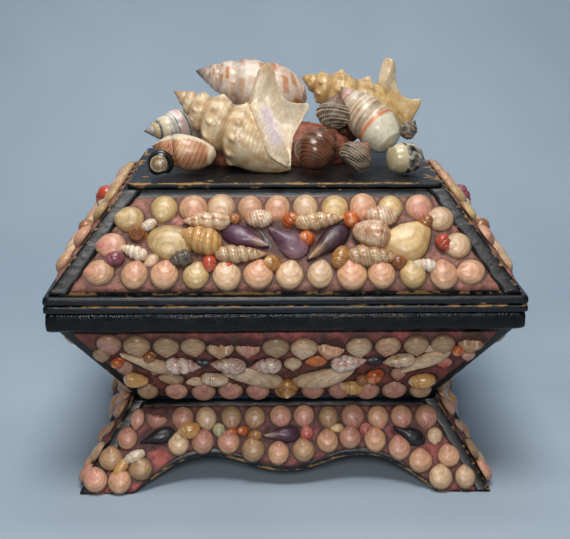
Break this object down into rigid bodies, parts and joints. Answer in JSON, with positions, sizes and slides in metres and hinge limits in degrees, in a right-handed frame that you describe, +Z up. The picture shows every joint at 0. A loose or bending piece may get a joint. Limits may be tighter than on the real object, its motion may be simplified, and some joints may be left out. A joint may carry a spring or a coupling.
{
  "type": "shell box",
  "caption": "Shell-work casket: scalloped stand, tapered box and hipped lid of black board set with small shells, large shells heaped on the lid.",
  "frame": {"origin": "middle of the underside, on the plane the feet stand on", "axes": "+X along the length, the front faces -Y, +Z up"},
  "size_m": [0.25, 0.19, 0.2268],
  "materials": {
    "black_paper": "varnished black paper on board",
    "oilcloth": "glossy black oilcloth",
    "small_shells": "small seashells in red-brown putty",
    "putty": "matt putty",
    "pale_shell": "glossy cream shell",
    "brown_shell": "glossy brown shell",
    "dark_shell": "glossy black shell",
    "grey_shell": "beaded grey shell"
  },
  "bodies": {
    "root": {"stand_board_front": "black_paper", "box_wall_front": "black_paper", "box_rim_front": "black_paper", "lid_rim_front": "black_paper", "lid_board_front": "black_paper", "stand_shells_front": "small_shells", "box_shells_front": "small_shells", "lid_shells_front": "small_shells", "stand_board_right": "black_paper", "box_wall_right": "black_paper", "box_rim_right": "black_paper", "lid_rim_right": "black_paper", "lid_board_right": "black_paper", "stand_shells_right": "small_shells", "box_shells_right": "small_shells", "lid_shells_right": "small_shells", "stand_board_back": "black_paper", "box_wall_back": "black_paper", "box_rim_back": "black_paper", "lid_rim_back": "black_paper", "lid_board_back": "black_paper", "stand_shells_back": "small_shells", "box_shells_back": "small_shells", "lid_shells_back": "small_shells", "stand_board_left": "black_paper", "box_wall_left": "black_paper", "box_rim_left": "black_paper", "lid_rim_left": "black_paper", "lid_board_left": "black_paper", "stand_shells_left": "small_shells", "box_shells_left": "small_shells", "lid_shells_left": "small_shells", "box_floor": "black_paper", "oilcloth_band": "oilcloth", "lid_top_board": "black_paper", "top_putty": "putty", "ivory_shell": "pale_shell", "conch_front": "pale_shell", "conch_back": "pale_shell", "tree_snail_left": "pale_shell", "tree_snail_right": "pale_shell", "volute": "brown_shell", "nerite_left": "dark_shell", "turban": "brown_shell", "top_shell_high": "grey_shell", "top_shell_low": "grey_shell", "nerite_right": "dark_shell", "top_shell_small": "grey_shell", "olive_back": "brown_shell", "turban_back": "brown_shell", "cone_back": "pale_shell"}
  },
  "joints": []
}
